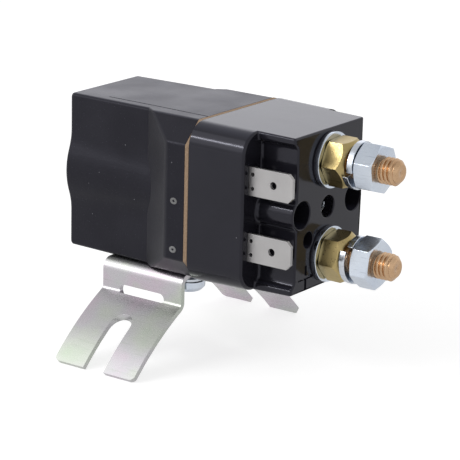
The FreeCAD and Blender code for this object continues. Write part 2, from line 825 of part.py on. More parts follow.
def make_moving_set():
    """Plunger, rod and what is fixed on the rod, then the bridge that slides on it."""
    socket = plunger_front - s["rod_socket"]
    turned_piece("plunger", [(plunger_back, 0), (socket, 0), (socket, s["rod_radius"]),
                             (plunger_front, s["rod_radius"]), (plunger_front, s["core_radius"]),
                             (plunger_back, s["core_radius"])])
    turned_piece("push_rod", [(socket, 0), (s["rod_end"], 0), (s["rod_end"], s["rod_radius"] / 2),
                              (s["rod_end"] - s["rod_radius"] / 2, s["rod_radius"]), (socket, s["rod_radius"])])
    turned_piece("rear_buffer", [(yoke_back, 0), (plunger_back, 0),
                                 (plunger_back, s["buffer_radius"]),
                                 (yoke_back, s["buffer_radius"])])
    turned_piece("spring_plate", tube_profile(s["spring_plate_start"], spring_plate_top,
                                              s["rod_radius"], s["spring_plate_radius"]))
    turned_piece("rod_clip", tube_profile(clip_start, return_seat_start, s["rod_radius"], s["clip_radius"]))
    turned_piece("return_spring_seat", tube_profile(return_seat_start, return_seat_top,
                                                    s["rod_radius"], s["clip_radius"]))
    shank = s["bush_shank_radius"]
    turned_piece("bridge_bush", [(bush_bottom, rod_bore), (bridge_top, rod_bore), (bridge_top, shank),
                                 (bridge_bottom, shank), (bridge_bottom, s["bush_radius"]),
                                 (bush_bottom, s["bush_radius"])])
    turned_piece("bridge_washer", tube_profile(bridge_top, bridge_washer_top, rod_bore, s["bush_radius"]))

    bridge = new_body("contact_bridge")
    outline = new_sketch(bridge, "YZ_Plane", bridge_bottom)
    draw_octagon(outline, s["bridge_half_width"], bridge_half_length, s["bridge_corner"])
    draw_circle(outline, 0, 0, shank)
    pad(bridge, outline, s["bridge_thickness"])
    place(bridge)


def disc(label, start, thickness, radius, level):
    end = start + thickness
    return turned_piece(label, [(start, 0), (end, 0), (end, radius), (start, radius)], level=level)


def make_hex_nut(label, start, thickness, level, turn, end_bevel, end_slope):
    """A nut across-flats wide, its corners turned down a little at the start and as given at the end."""
    nut = new_body(label)
    outline = new_sketch(nut, "YZ_Plane", start)
    reach = s["nut_across_flats"] / 2 / cosine(s["nut_corner_angle"])
    corners = []
    for number in range(6):
        angle = s["nut_corner_angle"] * (2 * number) + turn
        corners.append((reach * cosine(angle), reach * sine(angle)))
    draw_chain(outline, corners)
    draw_circle(outline, 0, 0, s["stud_root_radius"])
    pad(nut, outline, thickness)
    for place_x, way, bevel, slope in ((start, 1, s["nut_bevel"], s["nut_bevel_slope"]),
                                       (start + thickness, -1, end_bevel, end_slope)):
        cone = new_sketch(nut, "XY_Plane")
        run = margin * slope * way
        draw_chain(cone, [(place_x - run, reach - bevel / slope - margin), (place_x + bevel * way, reach),
                          (place_x + bevel * way + run, reach + margin), (place_x - run, reach + margin)])
        groove(nut, cone)
    return place(nut, level=level)


def on_helix(along, radius, angle, upright=False):
    """A point at an angle in radians about an axis that runs along x, or along z where upright."""
    side, level = radius * math.cos(angle), radius * math.sin(angle)
    return FreeCAD.Vector(side, level, along) if upright else FreeCAD.Vector(along, side, level)


def swept_solid(rings):
    """A closed solid over rings of points, each ring joined to the next by flat facets."""
    faces = [Part.Face(Part.makePolygon(ring + ring[:1])) for ring in (rings[0], rings[-1])]
    for ring, after in zip(rings, rings[1:]):
        for first in range(len(ring)):
            last = (first + 1) % len(ring)
            for corners in ((ring[first], ring[last], after[last]), (ring[first], after[last], after[first])):
                faces.append(Part.Face(Part.makePolygon(list(corners) + [corners[0]])))
    shell = Part.makeShell(faces)
    shell.sewShape()
    solid = Part.Solid(shell)
    if solid.Volume < 0:
        solid.reverse()
    return solid


def split_washer_shape(start, inner, outer, thick, rise, turn, upright=False):
    """Most of one turn of flat wire, its cut ends apart by the rise."""
    rings = []
    for step in range(WASHER_STEPS + 1):
        share = step / WASHER_STEPS
        angle = math.radians(turn) + math.tau * share * WASHER_CLOSED_SHARE
        low = start + rise * share
        rings.append([on_helix(low, inner, angle, upright), on_helix(low, outer, angle, upright),
                      on_helix(low + thick, outer, angle, upright), on_helix(low + thick, inner, angle, upright)])
    return swept_solid(rings)


def lock_washer_shape(turn):
    return split_washer_shape(lock_start.value, s["stud_radius"].value + s["stud_clearance"].value,
                              s["lock_washer_radius"].value, s["lock_washer_thickness"].value,
                              s["lock_washer_rise"].value, turn)


def stud_profile():
    """Half of the stud's shank, its thread at root size inside the nuts and at outer size where free."""
    tip = s["stud_tip"]
    start = head_start + s["stud_head_thickness"] / 2
    free_start = outer_nut_end + s["stud_end_step"]
    outer, root = s["stud_radius"], s["stud_root_radius"]
    return [(start, 0), (tip, 0), (tip, s["stud_tip_radius"]), (tip - s["stud_bevel"], outer), (free_start, outer),
            (free_start, root), (nut_start, root), (nut_start, outer), (start, outer)]


def make_stud(name, hand, brass_turn, outer_turn, lock_turn):
    """A terminal stud with its square head, fixed tip, washer, nuts and lock washer."""
    level = stud_side * hand
    stud = new_body("terminal_stud_" + name)
    shank = new_sketch(stud, "XY_Plane")
    draw_chain(shank, stud_profile())
    revolve(stud, shank)
    head = new_sketch(stud, "YZ_Plane", head_start)
    draw_octagon(head, s["stud_head_half"], s["stud_head_half"], s["stud_head_corner"])
    pad(stud, head, s["stud_head_thickness"])
    place(stud, level=level)
    disc("fixed_tip_" + name, fixed_face, s["tip_thickness"], s["tip_radius"], level)
    disc("bridge_tip_" + name, bridge_top, s["tip_thickness"], s["tip_radius"], level)
    turned_piece("flat_washer_" + name,
                 tube_profile(washer_start, nut_start, s["stud_radius"] + s["stud_clearance"],
                              s["washer_radius"]), level=level)
    make_hex_nut("brass_nut_" + name, nut_start, s["brass_nut_thickness"], level, brass_turn,
                 s["brass_nut_cone"], s["brass_nut_cone_slope"])
    place_shape("lock_washer_" + name, lock_washer_shape(lock_turn), level=level)
    make_hex_nut("outer_nut_" + name, outer_nut_start, s["outer_nut_thickness"], level, outer_turn,
                 s["nut_bevel"], s["nut_bevel_slope"])


def make_blade(name, hand):
    """A tab terminal with bevelled tip corners, a latch hole and two dimples."""
    blade = new_body("blade_terminal_" + name)
    profile = new_sketch(blade, "XZ_Plane", s["blade_plane"] - s["blade_thickness"] / 2)
    half = s["blade_width"] / 2
    corner = s["blade_corner"]
    tip = s["blade_tip"]
    draw_chain(profile, [(s["blade_tail"], -half), (tip - corner, -half), (tip, corner - half),
                         (tip, half - corner), (tip - corner, half), (s["blade_tail"], half)])
    draw_circle(profile, tip - s["blade_hole_from_tip"], 0, s["blade_hole_radius"])
    dimple_place = wing_end + s["blade_dimple_from_wall"]
    for side in (-1, 1):
        draw_circle(profile, dimple_place, s["blade_dimple_pitch"] / 2 * side, s["blade_dimple_radius"])
    pad(blade, profile, s["blade_thickness"])
    place(blade, level=blade_side * hand)


def wire_ring(centre, across, up, radius):
    """Corners of a wire's section about a centre, in the plane of two unit directions."""
    turns = [math.tau * corner / WIRE_SIDES for corner in range(WIRE_SIDES)]
    return [centre + across * (radius * math.cos(turn)) + up * (radius * math.sin(turn)) for turn in turns]


def lead_shape(hand):
    """An insulated lead from the winding, through the pole plate's notch, to a blade's tail."""
    level = blade_side.value * hand
    radius = s["lead_radius"].value
    reach = s["lead_bend"].value
    winding_side = -math.sqrt(winding_radius.value ** 2 - level ** 2) - radius
    tail = s["blade_tail"].value
    inner_side, outer_side = -lead_side.value, -s["blade_plane"].value
    turning = cover_start.value + radius
    points = [(lead_start.value, winding_side), (lead_start.value, inner_side + reach),
              (lead_start.value + reach, inner_side), (turning, inner_side),
              (tail - reach, outer_side), (tail, outer_side)]
    route = [FreeCAD.Vector(x, y, level) for x, y in points]
    rings = []
    for number, point in enumerate(route):
        before = route[max(number - 1, 0)]
        after = route[min(number + 1, len(route) - 1)]
        ahead = (after - before).normalize()
        rings.append(wire_ring(point, FreeCAD.Vector(-ahead.y, ahead.x, 0), FreeCAD.Vector(0, 0, 1), radius))
    return swept_solid(rings)


def spring_shape(start, end, coil_radius, wire_radius):
    """A round-wire compression spring between two seats."""
    length = end - start - wire_radius * 2
    steps = SPRING_TURNS * SPRING_STEPS
    rings = []
    for step in range(steps + 1):
        angle = math.tau * step / SPRING_STEPS
        along = start + wire_radius + length * step / steps
        outward = on_helix(0, 1, angle)
        rings.append(wire_ring(on_helix(along, coil_radius, angle), outward, FreeCAD.Vector(1, 0, 0), wire_radius))
    return swept_solid(rings)


def make_springs():
    place_shape("contact_spring", spring_shape(spring_plate_top.value, bush_bottom.value,
                                               s["contact_spring_radius"].value,
                                               s["contact_spring_wire"].value))
    place_shape("return_spring", spring_shape(return_seat_top.value, spring_pocket_end.value,
                                              s["return_spring_radius"].value,
                                              s["return_spring_wire"].value))


def strip_face(offset):
    """Points on one face of the right half of the strip, from the strap out to a prong's tip."""
    level_way = as_size(0)
    down_way = as_size(90)
    stations = [(strap_half_span, strap_level, level_way), (web_side, web_top, down_way),
                (web_side, web_bottom, down_way), (foot_start_side, foot_start_level, s["foot_start_angle"]),
                (tip_side, tip_level, s["foot_end_angle"])]
    return [(side + offset * sine(angle), level + offset * cosine(angle)) for side, level, angle in stations]


def draw_strip_section(sketch):
    upper = strip_face(half_strip)
    lower = strip_face(-half_strip)
    right = upper + lower[::-1]
    left = [(-side, level) for side, level in reversed(right)]
    bend, foot_bend, foot = s["bend_radius"], s["foot_bend_radius"], s["foot_arc_radius"]
    arcs = {0: (bend + half_strip, -1), 2: (foot_bend - half_strip, 1), 3: (foot + half_strip, -1),
            5: (foot - half_strip, 1), 6: (foot_bend + half_strip, -1), 8: (bend - half_strip, 1)}
    mirrored = {18 - number: arc for number, arc in arcs.items()}
    draw_chain(sketch, right + left, arcs={**arcs, **mirrored})


def make_bracket():
    """One bent strip: strap, two slotted webs and two forked feet that curve down."""
    body = new_body("mounting_bracket")
    section = new_sketch(body, "YZ_Plane", strip_end)
    draw_strip_section(section)
    pad(body, section, s["strip_width"], backwards=True)
    corners = edge_names(body.Shape, lambda edge: near(edge.Length, s["strip_thickness"].value)
                         and all(abs(point.y) > tip_side.value - margin.value for point in ends_of(edge)))
    round_edges(body, corners, s["prong_corner"])
    depth = body_underside - ground_level + margin * 2
    forks = new_sketch(body, "XY_Plane", body_underside + margin)
    radius = s["fork_slot_width"] / 2
    root_side = tip_side - s["fork_slot_length"] + radius
    beyond = tip_side + margin * 2
    near_end = [(strip_middle - radius, -beyond), (strip_middle + radius, -beyond),
                (strip_middle + radius, -root_side), (strip_middle - radius, -root_side)]
    far_end = [(strip_middle - radius, root_side), (strip_middle + radius, root_side),
               (strip_middle + radius, beyond), (strip_middle - radius, beyond)]
    draw_chain(forks, near_end, arcs={2: (radius, 1)})
    draw_chain(forks, far_end, arcs={0: (radius, 1)})
    pocket(body, forks, depth)
    slots = new_sketch(body, "XZ_Plane", web_side + margin)
    slot_radius = s["web_slot_height"] / 2
    draw_slot(slots, strip_middle - s["web_slot_length"] / 2, strip_middle + s["web_slot_length"] / 2,
              foot_start_level + slot_radius, slot_radius)
    pocket(body, slots, (web_side + margin) * 2)
    holes = new_sketch(body, "XY_Plane", body_underside + margin)
    for hand in (-1, 1):
        draw_circle(holes, -s["bracket_screw_inset"], screw_side * hand,
                    s["bracket_screw_radius"] + s["screw_hole_clearance"])
    pocket(body, holes, s["strip_thickness"] + margin * 2)
    place(body)


def make_bracket_screw(name, hand, split_turn):
    """A slotted pan-head screw from below, with the split washer under its head."""
    side = screw_side * hand
    body = new_body("bracket_screw_" + name)
    profile = new_sketch(body, "XZ_Plane")
    head_top = strap_underside - screw_washer_height
    head_bottom = head_top - s["bracket_screw_head_height"]
    wide = s["bracket_screw_head_radius"]
    narrow = s["bracket_screw_radius"]
    bevel = s["bracket_screw_head_bevel"]
    tip = s["thread_depth"] - plate_half_height - s["thread_end_gap"]
    draw_chain(profile, [(0, head_bottom), (wide - bevel, head_bottom), (wide, head_bottom + bevel),
                         (wide, head_top), (narrow, head_top), (narrow, tip), (0, tip)])
    revolve(body, profile, "V_Axis")
    slot = new_sketch(body, "XY_Plane", head_bottom - margin)
    half_slot = s["screw_slot_width"] / 2
    draw_box(slot, -half_slot, half_slot, -wide - margin, wide + margin)
    pocket(body, slot, s["screw_slot_depth"] + margin, forwards=True)
    place(body, side=side, along=-s["bracket_screw_inset"])
    washer = split_washer_shape(0, s["bracket_screw_radius"].value + s["screw_hole_clearance"].value,
                                wide.value - s["bracket_washer_inset"].value, s["screw_washer_thickness"].value,
                                s["screw_washer_rise"].value, split_turn, upright=True)
    place_shape("bracket_lock_washer_" + name, washer, side=side, level=head_top, along=-s["bracket_screw_inset"])


def make_cover_screw(name, hand):
    """A cap screw sunk in the cover that pulls it onto the pole plate."""
    tip = plate_back + s["thread_end_gap"]
    head_seat = cover_end - s["screw_sink_depth"]
    head_end = head_seat + s["cover_screw_head_height"]
    edge = s["cover_screw_head_edge"]
    floor = head_end - s["cover_screw_socket_depth"]
    socket = s["cover_screw_socket_radius"]
    wide = s["cover_screw_head_radius"]
    narrow = s["cover_screw_radius"]
    turned_piece("cover_screw_" + name,
                 [(tip, 0), (floor, 0), (floor, socket), (head_end, socket), (head_end, wide - edge),
                  (head_end - edge, wide), (head_seat, wide), (head_seat, narrow), (tip, narrow)],
                 side=s["screw_offset"] * hand)


def check_and_write():
    doc.recompute()
    for thing in doc.Objects:
        if "Invalid" in thing.State or "Error" in thing.State:
            raise RuntimeError(thing.Label + " failed")
    os.makedirs("parts", exist_ok=True)
    for thing in placed:
        if thing.Shape.isNull() or not thing.Shape.isValid():
            raise RuntimeError(thing.Label + " has no valid shape")
        thing.Shape.exportStep(f"parts/{thing.Label}.step")
        box = thing.Shape.BoundBox
        print(f"{thing.Label:24s} solids {len(thing.Shape.Solids)} volume {thing.Shape.Volume:9.1f}"
              f" x {box.XMin:7.2f} {box.XMax:7.2f} y {box.YMin:7.2f} {box.YMax:7.2f}"
              f" z {box.ZMin:7.2f} {box.ZMax:7.2f}")


make_coil_housing()
make_gasket()
make_contact_cover()
make_magnet()
make_moving_set()
for stud_name, stud_hand in (("upper", 1), ("lower", -1)):
    make_stud(stud_name, stud_hand, **NUT_TURNS[stud_name])
    make_blade(stud_name, stud_hand)
    place_shape("coil_lead_" + stud_name, lead_shape(stud_hand))
make_springs()
make_bracket()
for screw_name, screw_hand in (("near", -1), ("far", 1)):
    make_bracket_screw(screw_name, screw_hand, BRACKET_WASHER_TURN)
    make_cover_screw(screw_name, screw_hand)
check_and_write()
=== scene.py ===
import bpy
import bmesh
import json
import math
import random
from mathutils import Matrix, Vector


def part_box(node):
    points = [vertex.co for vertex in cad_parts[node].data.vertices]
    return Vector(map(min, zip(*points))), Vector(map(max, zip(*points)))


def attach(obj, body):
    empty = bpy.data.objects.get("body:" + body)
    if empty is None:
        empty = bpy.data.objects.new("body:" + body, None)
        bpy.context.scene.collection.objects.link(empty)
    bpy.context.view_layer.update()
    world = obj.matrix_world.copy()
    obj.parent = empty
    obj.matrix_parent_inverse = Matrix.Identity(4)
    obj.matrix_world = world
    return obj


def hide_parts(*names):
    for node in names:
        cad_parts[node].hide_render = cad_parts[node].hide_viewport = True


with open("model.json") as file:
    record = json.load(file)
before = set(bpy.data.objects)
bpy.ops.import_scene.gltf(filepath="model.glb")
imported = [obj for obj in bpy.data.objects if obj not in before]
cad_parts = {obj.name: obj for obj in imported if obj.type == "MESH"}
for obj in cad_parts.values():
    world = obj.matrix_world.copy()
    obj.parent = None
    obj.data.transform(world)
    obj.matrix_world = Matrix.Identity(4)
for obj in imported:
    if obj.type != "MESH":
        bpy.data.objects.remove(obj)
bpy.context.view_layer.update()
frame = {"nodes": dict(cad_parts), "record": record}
nodes = frame["nodes"]
mm = 0.001
axisHeight = sum(corner.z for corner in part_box("plunger")) / 2   # the plunger's axis above the ground
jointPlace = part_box("cover_gasket")[0].x                          # where the housing's mouth meets the gasket
print("frame loaded")


# camera, at the photograph's viewing angle

view = {
    "place": (0.28975, -0.40985, 0.1747),
    "turn": (73.8055, -1.3253, 36.0048),
    "lens": 182.31,
    "sensor": 36,
    "clipStart": 0.01,
}


def addCamera():
    data = bpy.data.cameras.new("camera")
    data.lens = view["lens"]
    data.sensor_width = view["sensor"]
    data.clip_start = view["clipStart"]
    camera = bpy.data.objects.new("camera", data)
    camera.location = view["place"]
    camera.rotation_euler = [math.radians(angle) for angle in view["turn"]]
    bpy.context.scene.collection.objects.link(camera)
    bpy.context.scene.camera = camera


addCamera()
print("camera set")


# small helpers for node trees

def node(tree, kind, **settings):
    made = tree.nodes.new(kind)
    for name, value in settings.items():
        setattr(made, name, value)
    return made


def feed(tree, source, target):
    # links an output to an input, or sets the input to a plain value
    if isinstance(source, bpy.types.NodeSocket):
        tree.links.new(source, target)
    else:
        target.default_value = source


def sums(tree, operation, first, second):
    made = node(tree, "ShaderNodeMath", operation=operation)
    feed(tree, first, made.inputs[0])
    feed(tree, second, made.inputs[1])
    return made.outputs[0]


def spread(tree, value, low, high, fromLow=0.3, fromHigh=0.7):
    made = node(tree, "ShaderNodeMapRange")
    for title, setting in (("From Min", fromLow), ("From Max", fromHigh), ("To Min", low), ("To Max", high)):
        feed(tree, setting, made.inputs[title])
    feed(tree, value, made.inputs["Value"])
    return made.outputs["Result"]


# studio

studio = {
    "fill": 0.50,            # world light on the object
    "overhead": 0.70,        # how bright mirror-like faces see the sky right above, 1 at the horizon
    "overheadFrom": 0.35,    # height of a direction where the sky starts to dim
    "overheadTo": 0.90,
    "floorColour": (0.62, 0.62, 0.62, 1),
    "floorRoughness": 0.9,
    "floorReach": 4,         # metres from the middle to a side
    "floorGlow": 0.68,       # as the camera sees it, and as mirror-like faces see it
    "floorMirrored": 0.46,
}

lamps = {
    "keyLamp": {"place": (-0.50, -0.56, 0.50), "power": 1.4, "size": 0.72},
    # low behind, for the sheen on the faces that look up
    "backLamp": {"place": (-0.60, 0.85, 0.36), "power": 0.95, "size": 0.80, "colour": (0.90, 0.90, 1.0)},
    # a narrow strip, for thin bright lines along the eased edges
    "glintLamp": {"place": (-0.36, -0.68, 0.50), "power": 1.7, "size": 0.46, "height": 0.06},
}


def rayMasks(tree):
    # one where the camera looks, and one where a mirror or glass ray looks
    path = node(tree, "ShaderNodeLightPath")
    mirrored = sums(tree, "MAXIMUM", path.outputs["Is Glossy Ray"], path.outputs["Is Transmission Ray"])
    return path.outputs["Is Camera Ray"], mirrored


def addWorld():
    world = bpy.data.worlds.new("studio")
    bpy.context.scene.world = world
    world.use_nodes = True
    tree = world.node_tree
    seen, mirrored = rayMasks(tree)
    place = node(tree, "ShaderNodeTexCoord")
    parts = node(tree, "ShaderNodeSeparateXYZ")
    feed(tree, place.outputs["Generated"], parts.inputs[0])
    sky = spread(tree, parts.outputs["Z"], 1.0, studio["overhead"],
                 studio["overheadFrom"], studio["overheadTo"])
    level = spread(tree, mirrored, studio["fill"], sky, 0.0, 1.0)
    level = spread(tree, seen, level, 1.0, 0.0, 1.0)
    feed(tree, level, tree.nodes["Background"].inputs["Strength"])
    feed(tree, (1, 1, 1, 1), tree.nodes["Background"].inputs["Color"])


def addLamp(name, place, power, size, colour=(1, 1, 1), height=None):
    data = bpy.data.lights.new(name, "AREA")
    data.energy = power
    data.shape = "RECTANGLE"
    data.size = size
    data.size_y = height or size
    data.color = colour
    lamp = bpy.data.objects.new(name, data)
    lamp.location = place
    aim = Vector((0, 0, axisHeight)) - Vector(place)
    lamp.rotation_euler = aim.to_track_quat("-Z", "Y").to_euler()
    bpy.context.scene.collection.objects.link(lamp)


def addFloor():
    mesh = bpy.data.meshes.new("floor")
    shape = bmesh.new()
    bmesh.ops.create_grid(shape, x_segments=2, y_segments=2, size=studio["floorReach"])
    shape.to_mesh(mesh)
    shape.free()
    floor = bpy.data.objects.new("floor", mesh)
    bpy.context.scene.collection.objects.link(floor)
    paint = bpy.data.materials.new("floorPaint")
    paint.use_nodes = True
    tree = paint.node_tree
    surface = tree.nodes["Principled BSDF"]
    surface.inputs["Base Color"].default_value = studio["floorColour"]
    surface.inputs["Roughness"].default_value = studio["floorRoughness"]
    surface.inputs["Specular IOR Level"].default_value = 0.0
    surface.inputs["Emission Color"].default_value = (1, 1, 1, 1)
    seen, mirrored = rayMasks(tree)
    glow = sums(tree, "MAXIMUM", sums(tree, "MULTIPLY", seen, studio["floorGlow"]),
                sums(tree, "MULTIPLY", mirrored, studio["floorMirrored"]))
    feed(tree, glow, surface.inputs["Emission Strength"])
    mesh.materials.append(paint)


bpy.context.scene.view_settings.view_transform = "Standard"
addWorld()
for name, settings in lamps.items():
    addLamp(name, **settings)
addFloor()
print("studio built")


# shader groups that several finishes share

def newGroup(name, takes, gives):
    group = bpy.data.node_groups.new(name, "ShaderNodeTree")
    for title, kind, value in takes:
        socket = group.interface.new_socket(name=title, in_out="INPUT", socket_type=kind)
        if value is not None:
            socket.default_value = value
    for title in gives:
        group.interface.new_socket(name=title, in_out="OUTPUT", socket_type="NodeSocketFloat")
    return group, group.nodes.new("NodeGroupInput"), group.nodes.new("NodeGroupOutput")


def noise(tree, vector, scale, detail):
    made = node(tree, "ShaderNodeTexNoise")
    made.inputs["Detail"].default_value = detail
    feed(tree, vector, made.inputs["Vector"])
    feed(tree, scale, made.inputs["Scale"])
    return made.outputs["Fac"]


def buildGrain():
    # fine moulded or rolled surface: a height and a slow patchy mask
    group, into, out = newGroup("surfaceGrain",
                                [("Vector", "NodeSocketVector", None),
                                 ("Scale", "NodeSocketFloat", 3.0),
                                 ("Stretch", "NodeSocketVector", (1, 1, 1)),
                                 ("Patch Scale", "NodeSocketFloat", 0.1),
                                 ("Patch Stretch", "NodeSocketVector", (1, 1, 1))],
                                ["Height", "Patch"])
    for stretch, scale, detail, title in (("Stretch", "Scale", 4, "Height"),
                                          ("Patch Stretch", "Patch Scale", 3, "Patch")):
        pulled = node(group, "ShaderNodeVectorMath", operation="MULTIPLY")
        feed(group, into.outputs["Vector"], pulled.inputs[0])
        feed(group, into.outputs[stretch], pulled.inputs[1])
        feed(group, noise(group, pulled.outputs[0], into.outputs[scale], detail), out.inputs[title])
    return group


# the film on faces that look up is partly settled dust and partly a painted sheen of the light from above
dustAndTopSheen = {
    "speckEdge": (0.10, 0.05),          # distance from its middle where a speck starts and is whole
    "upward": (0.72, 0.98),             # how far a face looks up where the dust and painted sheen starts and is whole
    "dustSheenShare": (0.75, 1.0),
    "dustSheenScale": 0.16,
}


def buildDustAndTopSheen():
    # small pale specks of dust, and a thin pale film on faces that look up, partly settled dust and partly
    # painted sheen that lightens the tops as light from above would
    group, into, out = newGroup("dustAndPaintedTopSheen",
                                [("Vector", "NodeSocketVector", None), ("Normal", "NodeSocketVector", None),
                                 ("Scale", "NodeSocketFloat", 0.8), ("Amount", "NodeSocketFloat", 0.5)],
                                ["Specks", "Dust And Painted Sheen"])
    cells = node(group, "ShaderNodeTexVoronoi")
    feed(group, into.outputs["Vector"], cells.inputs["Vector"])
    feed(group, into.outputs["Scale"], cells.inputs["Scale"])
    speck = spread(group, cells.outputs["Distance"], 0.0, 1.0, *dustAndTopSheen["speckEdge"])
    parts = node(group, "ShaderNodeSeparateColor")
    feed(group, cells.outputs["Color"], parts.inputs["Color"])
    chosen = sums(group, "LESS_THAN", parts.outputs["Red"], into.outputs["Amount"])
    feed(group, sums(group, "MULTIPLY", speck, chosen), out.inputs["Specks"])
    # painted sheen with settled dust: faces that look up get the paler film
    facing = node(group, "ShaderNodeSeparateXYZ")
    feed(group, into.outputs["Normal"], facing.inputs[0])
    upward = spread(group, facing.outputs["Z"], 0.0, 1.0, *dustAndTopSheen["upward"])
    uneven = spread(group, noise(group, into.outputs["Vector"], dustAndTopSheen["dustSheenScale"], 3), *dustAndTopSheen["dustSheenShare"])
    feed(group, sums(group, "MULTIPLY", upward, uneven), out.inputs["Dust And Painted Sheen"])
    return group


hairlines = {
    # a turn in radians and a pull
    "headings": ((0.5, (0.12, 2.6, 2.6)), (-0.9, (0.15, 3.1, 3.1))),
    "tilts": (1.0, 0.7, 1.3),           # shares of the turn about X, Y and Z
    "edge": (0.64, 0.70),
}


def buildScratches():
    # sparse hairlines at two headings
    group, into, out = newGroup("hairScratches",
                                [("Vector", "NodeSocketVector", None), ("Scale", "NodeSocketFloat", 1.0),
                                 ("Amount", "NodeSocketFloat", 0.5)],
                                ["Mask"])
    total = 0.0
    for turn, pull in hairlines["headings"]:
        spun = node(group, "ShaderNodeMapping")
        spun.inputs["Rotation"].default_value = [turn * share for share in hairlines["tilts"]]
        spun.inputs["Scale"].default_value = pull
        feed(group, into.outputs["Vector"], spun.inputs["Vector"])
        lines = noise(group, spun.outputs[0], into.outputs["Scale"], 2)
        total = sums(group, "MAXIMUM", total, spread(group, lines, 0.0, 1.0, *hairlines["edge"]))
    feed(group, sums(group, "MULTIPLY", total, into.outputs["Amount"]), out.inputs["Mask"])
    return group


grainGroup = buildGrain()
dustAndTopSheenGroup = buildDustAndTopSheen()
scratchGroup = buildScratches()


# finishes

class Finish:
    # a material whose patterns are read from Object coordinates in millimetres

    def __init__(self, name, roughness=0.5, metallic=0.0):
        self.material = bpy.data.materials.new(name)
        self.material.use_nodes = True
        self.tree = self.material.node_tree
        self.surface = self.tree.nodes["Principled BSDF"]
        self.surface.inputs["Roughness"].default_value = roughness
        self.surface.inputs["Metallic"].default_value = metallic
        place = node(self.tree, "ShaderNodeTexCoord")
        scaled = node(self.tree, "ShaderNodeMapping")
        scaled.inputs["Scale"].default_value = [1 / mm] * 3
        feed(self.tree, place.outputs["Object"], scaled.inputs["Vector"])
        self.where = scaled.outputs["Vector"]
        self.facing = place.outputs["Normal"]

    def group(self, which, **values):
        made = node(self.tree, "ShaderNodeGroup", node_tree=which)
        feed(self.tree, self.where, made.inputs["Vector"])
        if "Normal" in made.inputs:
            feed(self.tree, self.facing, made.inputs["Normal"])
        for name, value in values.items():
            made.inputs[name.replace("_", " ")].default_value = value
        return made

    def ramp(self, value, stops):
        made = node(self.tree, "ShaderNodeValToRGB")
        bands = made.color_ramp.elements
        while len(bands) < len(stops):
            bands.new(0.5)
        for band, (place, colour) in zip(bands, stops):
            band.position = place
            band.color = (*colour, 1)
        feed(self.tree, value, made.inputs["Fac"])
        return made.outputs["Color"]

    def mix(self, mask, first, second):
        made = node(self.tree, "ShaderNodeMix", data_type="RGBA")
        feed(self.tree, mask, made.inputs["Factor"])
        for title, colour in (("A", first), ("B", second)):
            feed(self.tree, (*colour, 1) if isinstance(colour, tuple) else colour,
                 [socket for socket in made.inputs if socket.name == title and socket.type == "RGBA"][0])
        return [socket for socket in made.outputs if socket.type == "RGBA"][0]

    def wear(self, name, source):
        feed(self.tree, source, self.surface.inputs[name])

    def spread(self, value, low, high, fromLow=0.3, fromHigh=0.7):
        return spread(self.tree, value, low, high, fromLow, fromHigh)

    def bump(self, height, distance):
        made = node(self.tree, "ShaderNodeBump")
        made.inputs["Distance"].default_value = distance
        feed(self.tree, height, made.inputs["Height"])
        feed(self.tree, made.outputs["Normal"], self.surface.inputs["Normal"])


plastic = {
    "patchScale": 0.09,
    "patchEdge": (0.35, 0.65),
    "speckScale": 0.62,
    "gritScale": 1.7,
    "gritGain": 6,           # how much paler the grit is than the plastic
}


def mouldedPlastic(name, dark, pale, rough, grain, bump, specks=0.0, dustAndSheenColour=None, specular=0.5,
                   tint=(1, 1, 1), speckColour=(0.20, 0.20, 0.22), grit=0.0):
    made = Finish(name)
    made.surface.inputs["Specular IOR Level"].default_value = specular
    made.surface.inputs["Specular Tint"].default_value = (*tint, 1)
    skin = made.group(grainGroup, Scale=grain, Patch_Scale=plastic["patchScale"])
    colour = made.ramp(skin.outputs["Patch"], list(zip(plastic["patchEdge"], (dark, pale))))
    dustAndSheenMasks = made.group(dustAndTopSheenGroup, Scale=plastic["speckScale"], Amount=specks)
    # faces that look up are paled: settled dust, and a painted sheen standing in for the overhead light
    if dustAndSheenColour:
        colour = made.mix(dustAndSheenMasks.outputs["Dust And Painted Sheen"], colour, dustAndSheenColour)
    if grit:
        fine = made.group(dustAndTopSheenGroup, Scale=plastic["gritScale"], Amount=grit)
        gritColour = tuple(value * plastic["gritGain"] for value in pale)
        colour = made.mix(fine.outputs["Specks"], colour, gritColour)
    made.wear("Base Color", made.mix(dustAndSheenMasks.outputs["Specks"], colour, speckColour))
    made.wear("Roughness", made.spread(skin.outputs["Patch"], *rough))
    made.bump(skin.outputs["Height"], bump)
    return made.material


metal = {
    "markScale": 0.9,        # the hairline scratches
    "markShade": 0.72,
}


def shades(dark, pale):
    return [(0.3, dark), (0.7, pale)]


def platedMetal(name, stops, rough, patch=0.12, patchStretch=(1, 1, 1), stretch=(1, 1, 1), grain=2.0,
                bump=0.00002, scratches=0.5):
    made = Finish(name, metallic=1.0)
    skin = made.group(grainGroup, Scale=grain, Stretch=stretch, Patch_Scale=patch, Patch_Stretch=patchStretch)
    colour = made.ramp(skin.outputs["Patch"], stops)
    marks = made.group(scratchGroup, Scale=metal["markScale"], Amount=scratches)
    shade = tuple(value * metal["markShade"] for value in stops[0][1])
    made.wear("Base Color", made.mix(marks.outputs["Mask"], colour, shade))
    made.wear("Roughness", made.spread(skin.outputs["Height"], *rough))
    made.bump(skin.outputs["Height"], bump)
    return made.material


fibre = {
    "roughness": 0.85,
    "grain": 3.5,
    "stretch": (3.0, 1, 1),
    "patch": 0.5,
    "shades": shades((0.26, 0.17, 0.10), (0.52, 0.37, 0.25)),
    "stain": (0.42, 0.28, 0.18),
    "stainMost": 0.5,
    "bump": 0.00012,
}


